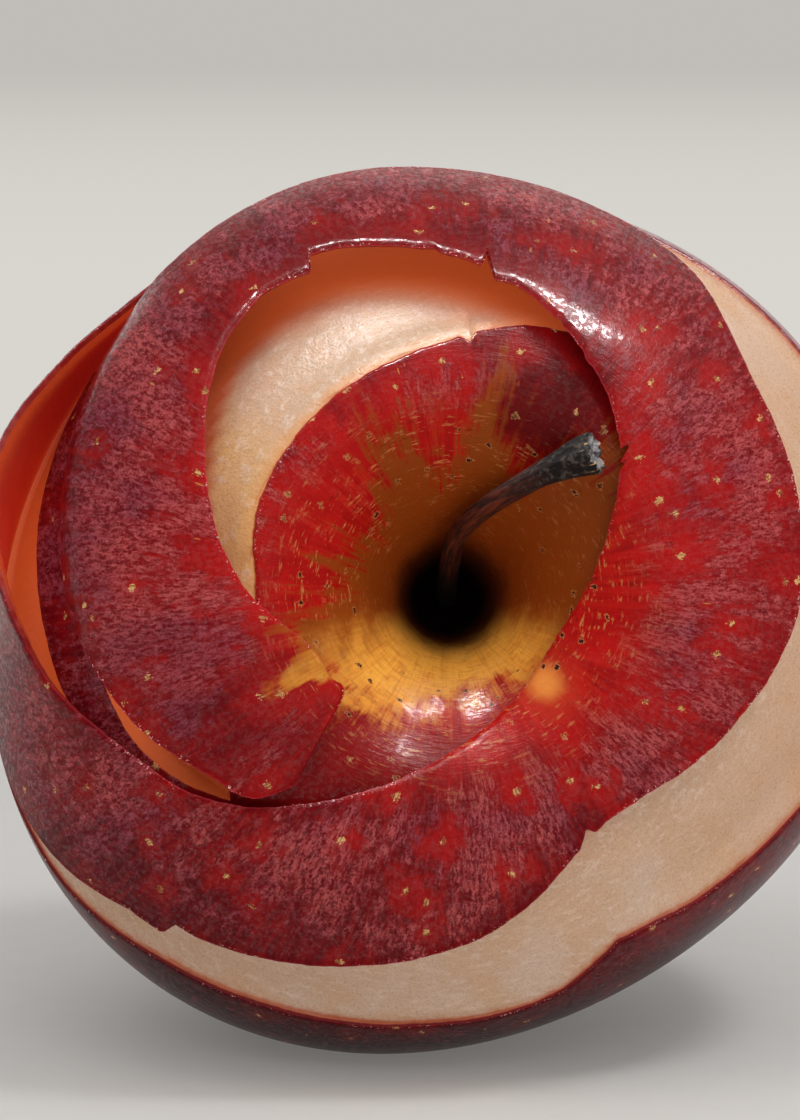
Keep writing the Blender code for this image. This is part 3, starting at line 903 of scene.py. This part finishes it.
    def complete(self, wax, star):
        """Add relief and shine: some flecks of the wax mirror the light and those between don't."""
        mottle = self.noise(self.rest, 0.45, 3, 0.75)
        on_cap = 1 - self.off_cap
        specks = mottle * self.off_cap + (0.6 * self.across + 0.4 * mottle) * on_cap
        ripples = self.distance.step(40, 33) * self.distance.step(7, 14)
        height = (0.07 * self.clumps + 0.03 * self.flecks * self.off_cap + 0.02 * star + 0.03 * mottle
                  + ripples * (0.04 * self.across + 0.05 * self.wrinkles))
        cap_shine = 0.6 * self.upwards.step(-0.2, -0.5)
        waxed = ((self.margin + 0.5 * self.upwards).step(0, 0.5)
                 * self.off_cap.step(0, 1, cap_shine, 1) * (1 - 0.5 * self.shaded_underside))
        return self.finish(
            Base_Color=self.colour, Roughness=0.30 + 0.10 * wax, Specular_IOR_Level=0.05,
            Coat_Weight=specks.step(0.49, 0.56, 0.08, 0.55) * waxed, Coat_Roughness=0.11,
            Normal=self.bump(height))


def skin_material():
    skin = Skin()
    skin.lay_ground()
    wax = skin.lay_wax(skin.lay_halos())
    skin.lay_gold()
    skin.lay_marks()
    star = skin.lay_lenticels()
    skin.trim_margins()
    return skin.complete(wax, star)


def flesh_material():
    """Bare apple flesh: creamy, moist and grainy, with painted shade, light and glow where the peel
    covers it.
    """
    flesh = Recipe("apple_flesh")
    rest = flesh.attribute("rest")
    depth, stain, margin, glow = (
        flesh.attribute(name, "Fac") for name in ("depth", "stain", "margin", "glow"))
    rightwards, _, distance = flesh.split(flesh.attribute("compass"))
    near_stem = distance.step(46, 38)
    clouds = flesh.noise(rest, 6, 4, 0.55)
    pulp = flesh.noise(rest, 1, 3, 0.65)
    grain = flesh.noise(rest, 0.22, 2, 0.7)
    wisps = flesh.noise(flesh.stretch(flesh.attribute("unrolled"), (0.6, 1, 1)), 0.7, 3, 0.65)

    flesh.colour = flesh.mix(clouds.step(0.36, 0.64), srgb(230, 200, 176), srgb(226, 186, 152))
    flesh.paint(near_stem * clouds.step(0.56, 0.44) * 0.85, srgb(232, 186, 148))
    flesh.paint(wisps.step(0.48, 0.70) * 0.5, srgb(246, 224, 206))
    # Painted warm light on the left side of the flesh by the stem.
    yellow = rightwards.step(-0.68, -0.93) * near_stem * clouds.step(0.4, 0.6, 0.7, 1)
    flesh.paint(yellow, srgb(255, 204, 132))
    flesh.paint(rightwards.step(0.4, 0.95) * (1 - near_stem) * 0.5, srgb(220, 162, 118))
    # Pale specks by the stem are painted glints on the moist flesh.
    flesh.paint(pulp.step(0.54, 0.68) * near_stem * 0.5, srgb(255, 232, 214))
    flesh.paint(grain.step(0.40, 0.75) * 0.4, srgb(190, 140, 108))

    # Browner towards the skin left on, and red right at its foot.
    tint = (margin + 1.4 * (pulp - 0.5)).step(1.7, 0) * near_stem.step(0, 1, 0.55, 0.7)
    flesh.paint(tint, flesh.mix(near_stem, srgb(204, 112, 62), srgb(240, 164, 96)))
    edge = depth + 0.1 * (pulp - 0.5)
    flesh.paint(edge.step(0.38, 0.28) * near_stem.step(0, 1, 0.8, 0.5), srgb(206, 96, 56))
    flesh.paint(edge.step(0.28, 0.18), flesh.mix(near_stem, srgb(120, 14, 20), srgb(196, 50, 38)))

    # Orange-brown where the peel covers or borders the flesh: painted shade and light let through the
    # peel.
    covered = (stain + 1.2 * (pulp - 0.5) * stain * (1 - stain)).clamp()
    flesh.paint(covered, srgb(204, 92, 40))
    # The emission is a painted glow of light let through the peel.
    return flesh.finish(
        Base_Color=flesh.colour, Roughness=0.40 - 0.20 * grain + 0.6 * stain, Specular_IOR_Level=0.25,
        Normal=flesh.bump(0.04 * grain + 0.08 * pulp), Emission_Strength=1,
        Emission_Color=flesh.mix(glow.step(0.02, 1), UNLIT, (0.24, 0.045, 0.010, 1)))


def peel_edge_material():
    """The thin cut edge of the peel: moist and red, in darker and paler stretches."""
    edge = Recipe("peel_edge")
    patches = edge.noise(edge.attribute("rest"), 1.6, 3, 0.6)
    colour = edge.mix(patches.step(0.4, 0.7), srgb(146, 20, 20), srgb(172, 48, 34))
    return edge.finish(
        Base_Color=colour, Roughness=0.25 + 0.15 * patches, Normal=edge.bump(0.06 * patches))


def peel_inside_material():
    """The inner side of the peel: thin flesh painted red, more orange towards its edges and glowing,
    all painted light let through the skin.
    """
    inside = Recipe("peel_inside")
    rest = inside.attribute("rest")
    margin = inside.attribute("margin", "Fac")
    patches = inside.noise(rest, 5, 3, 0.6)
    grain = inside.noise(rest, 0.3, 2, 0.6)
    inside.colour = inside.mix(patches.step(0.35, 0.7), srgb(178, 24, 18), srgb(190, 44, 24))
    # More orange and a brighter painted glow towards the edges: painted light let through the thin
    # peel.
    inside.paint(margin.step(4, 0) * 0.7, srgb(196, 80, 34))
    glow = inside.mix(margin.step(5, 0), (0.10, 0.003, 0.002, 1), (0.17, 0.018, 0.004, 1))
    glow = inside.mix(inside.attribute("glow", "Fac"), UNLIT, glow)
    return inside.finish(
        Base_Color=inside.colour, Roughness=0.36 + 0.1 * grain, Emission_Color=glow,
        Emission_Strength=1, Normal=inside.bump(0.02 * grain + 0.04 * patches))


def stem_material():
    """Dry bark, near black at the flared end, grey with pale splinters where it was broken off."""
    bark = Recipe("apple_stem")
    along = bark.attribute("along", "Fac")
    fibres = bark.noise(bark.stretch(bark.attribute("fibre"), (1.6, 1.6, 0.22)), 0.5, 3, 0.65)
    lumps = bark.noise(bark.attribute("rest"), 0.6, 3, 0.65)
    bark.colour = bark.mix(fibres.step(0.35, 0.7), srgb(32, 10, 5), srgb(112, 44, 22))
    black = bark.mix(lumps.step(0.46, 0.70), srgb(14, 10, 9), srgb(84, 74, 68))
    bark.paint((along + 0.1 * (lumps - 0.5)).step(0.60, 0.80), black)
    # Near black at its foot: painted shade where it stands deep in the cavity.
    bark.paint(along.step(0.45, 0.15), srgb(12, 5, 4))
    ash = bark.mix(lumps.step(0.40, 0.60), srgb(100, 96, 98), srgb(168, 162, 160))
    bark.paint(along.step(0.935, 0.955), ash)
    splinter = along.step(0.87, 0.90) * along.step(0.955, 0.94) * fibres.step(0.58, 0.64)
    bark.paint(splinter, srgb(212, 172, 124))
    return bark.finish(
        Base_Color=bark.colour, Roughness=0.6 + 0.2 * lumps, Specular_IOR_Level=0.25,
        Normal=bark.bump(0.16 * fibres + 0.10 * lumps))


# ---------------------------------------------------------------- the set

def add_floor():
    """A pale floor. Far from the fruit it is shown as an evenly lit, seamless set."""
    bpy.ops.mesh.primitive_circle_add(vertices=96, radius=FLOOR_RADIUS, fill_type="NGON")
    floor = bpy.context.object
    floor.name = "paper_floor"
    paper = Recipe("paper")
    spot = paper.add("ShaderNodeTexCoord", {}, {}, "Object")
    from_fruit = paper.add("ShaderNodeVectorMath", {"operation": "LENGTH"}, {0: spot}, "Value")
    near = paper.mix(paper.noise(spot, 0.004), srgb(213, 211, 208), srgb(218, 216, 213))
    paper.finish(Base_Color=near, Roughness=0.95)
    unseen = paper.add("ShaderNodeBsdfDiffuse", {}, {"Color": srgb(222, 220, 217)})
    far = paper.mix(from_fruit.step(0.10, 0.45), srgb(188, 184, 179), srgb(217, 213, 207))
    far = paper.mix(from_fruit.step(0.7, 3.5), far, SET_COLOUR)
    glow = paper.add("ShaderNodeEmission", {}, {"Color": far, "Strength": 1})
    in_view = paper.in_view()
    lit = paper.blend(in_view, unseen, paper.plain())
    share = from_fruit.step(0.05, 0.26, FLOOR_GLOW, 1) * in_view
    paper.show(paper.blend(share, lit, glow))
    floor.data.materials.append(paper.made)


def add_world():
    """Soft light from all round, brighter from behind, which is shown as the pale set."""
    room = Recipe("soft_room", bpy.data.worlds, "Background")
    _, backwards, _ = room.split(room.add("ShaderNodeTexCoord", {}, {}, "Generated"))
    room.finish(Color=ROOM_COLOUR, Strength=backwards.step(-0.3, 0.4, *ROOM_LIGHT))
    pale = room.add("ShaderNodeBackground", {}, {"Color": SET_COLOUR})
    room.show(room.blend(room.in_view(), room.plain(), pale))
    bpy.context.scene.world = room.made


def add_lamp(target, name, size, energy, direction, distance, shine_only):
    """A soft square lamp that stands off the target in a direction."""
    data = bpy.data.lights.new(name, "AREA")
    data.shape = "SQUARE"
    data.size = size
    data.energy = energy
    lamp = bpy.data.objects.new(name, data)
    lamp.visible_glossy = shine_only
    lamp.visible_diffuse = not shine_only
    bpy.context.scene.collection.objects.link(lamp)
    way = Vector(direction).normalized()
    lamp.location = Vector(target) + way * distance
    lamp.rotation_euler = way.to_track_quat("Z", "Y").to_euler()


def add_camera(target):
    data = bpy.data.cameras.new("camera")
    data.sensor_fit = "VERTICAL"
    data.sensor_height = SENSOR
    data.lens = SENSOR * CAMERA_DISTANCE / VIEW_HEIGHT
    data.clip_start = 0.01
    camera = bpy.data.objects.new("camera", data)
    bpy.context.scene.collection.objects.link(camera)
    rise = math.radians(CAMERA_RISE)
    turn = Euler((math.pi / 2 - rise, 0, 0)).to_matrix()
    offset = Vector((LOOK_RIGHT, LOOK_UP, CAMERA_DISTANCE))
    camera.location = Vector(target) + turn @ offset
    camera.rotation_euler = turn.to_euler()
    bpy.context.scene.camera = camera


# ---------------------------------------------------------------- putting it together

def stain_under_peel(angle, distance):
    """How much painted shade and light let through the peel lie on the flesh under and beside it, from
    0 to 1.
    """
    front, rear, reach = smooth_curve(PEEL_FRONT), smooth_curve(PEEL_REAR), smooth_curve(PEEL_SHADING_REACH)
    stain = np.zeros_like(distance)
    for turn in (angle, angle + 360):
        covered = (turn >= 220) & (turn < 580)
        under = soft_step(front(turn) - reach(turn), front(turn) + 2, distance)
        under = under * soft_step(rear(turn) + 0.8, rear(turn) - 0.2, distance)
        bordered = (turn >= 395) & (turn < 600)
        beside = 0.4 * soft_step(rear(turn) + 1, rear(turn), distance)
        beside = beside * (distance > rear(turn) - 3)
        stain = np.maximum(np.maximum(stain, under * covered), beside * bordered)
    between = window(angle, (200, 212), (345, 335))
    between = between * soft_step(rear(angle) - 3, rear(angle) - 1.5, distance)
    under_rear = rear(angle + 360) + 12 * soft_step(248, 262, angle)
    between = between * soft_step(under_rear - 0.5, under_rear - 1.5, distance)
    return np.maximum(stain, between)


def cover_fruit(fruit, skin, flesh):
    """Give the fruit its skin and, wherever a face reaches below it, its flesh."""
    angle, distance, depth = find_on_fruit(vertex_places(fruit))
    mark_places(fruit, angle, distance, vertex_places(fruit),
                smooth_curve(GOLD_REACH)(angle) - distance, gap_to_skin(angle, distance))
    # Bare of wax and darker beside the peel, above and below the stem: painted shade as well as skin
    # without wax.
    below_stem = window(angle, (160, 180), (245, 225))
    above_stem = window(angle, (0, 35), (80, 60))
    polish = (below_stem + above_stem) * window(distance, (20, 25), (44, 38))
    # Painted shade and light let through the peel, and the painted glow of that light.
    stain = stain_under_peel(angle, distance)
    glow = stain * smooth_curve(THROUGH_PEEL_GLOW)(angle)
    mark(fruit, depth=depth, polish=polish, stain=stain, glow=glow)
    fruit.data.materials.clear()
    for material in (skin, flesh):
        fruit.data.materials.append(material)
    for face in fruit.data.polygons:
        face.material_index = int(max(depth[index] for index in face.vertices) > SKIN_DEPTH)


def cut_flat(fruit):
    """Take away what lies below the ground, which leaves the flat spot the fruit rests on."""
    with editing(fruit):
        bpy.ops.mesh.bisect(plane_co=(0, 0, 0), plane_no=(0, 0, 1), clear_inner=True)
        bpy.ops.mesh.edge_face_add()


def lay_down(pieces):
    """Turn the pieces onto their side where the frame has them, and return the fruit's middle."""
    turn = Euler((math.radians(90 - AXIS_RISE), 0, math.radians(AXIS_YAW))).to_matrix()
    turned = [vertex_places(piece) @ np.array(turn).T for piece in pieces]
    everything = np.concatenate(turned)
    low, high = everything.min(axis=0), everything.max(axis=0)
    shift = np.array([
        (CAD_LOW[0] + CAD_HIGH[0] - low[0] - high[0]) / 2,
        (CAD_LOW[1] + CAD_HIGH[1] - low[1] - high[1]) / 2,
        CAD_HIGH[2] - high[2]])
    for piece, places in zip(pieces, turned):
        move_vertices(piece, places + shift)
    return shift


def main():
    bpy.context.scene.view_settings.view_transform = "Standard"
    skin = skin_material()
    fruit = add_fruit()
    peel = add_peel(skin, peel_edge_material(), peel_inside_material())
    stem = add_stem(stem_material())
    cover_fruit(fruit, skin, flesh_material())
    middle = lay_down([fruit, peel, stem])
    cut_flat(fruit)
    for piece, node, slot in ((fruit, "apple_body", "fruit"), (peel, "peel_ribbon", "peel"),
                              (stem, "stem", "stalk")):
        select_only(piece)
        bpy.ops.object.shade_smooth_by_angle(angle=math.radians(SHARP_ABOVE))
        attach(piece, "root")
        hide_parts(node)

    add_floor()
    add_world()
    for lamp in LAMPS:
        add_lamp(middle, *lamp, shine_only=False)
    for lamp in SHINES:
        add_lamp(middle, *lamp, shine_only=True)
    add_camera(middle)


main()
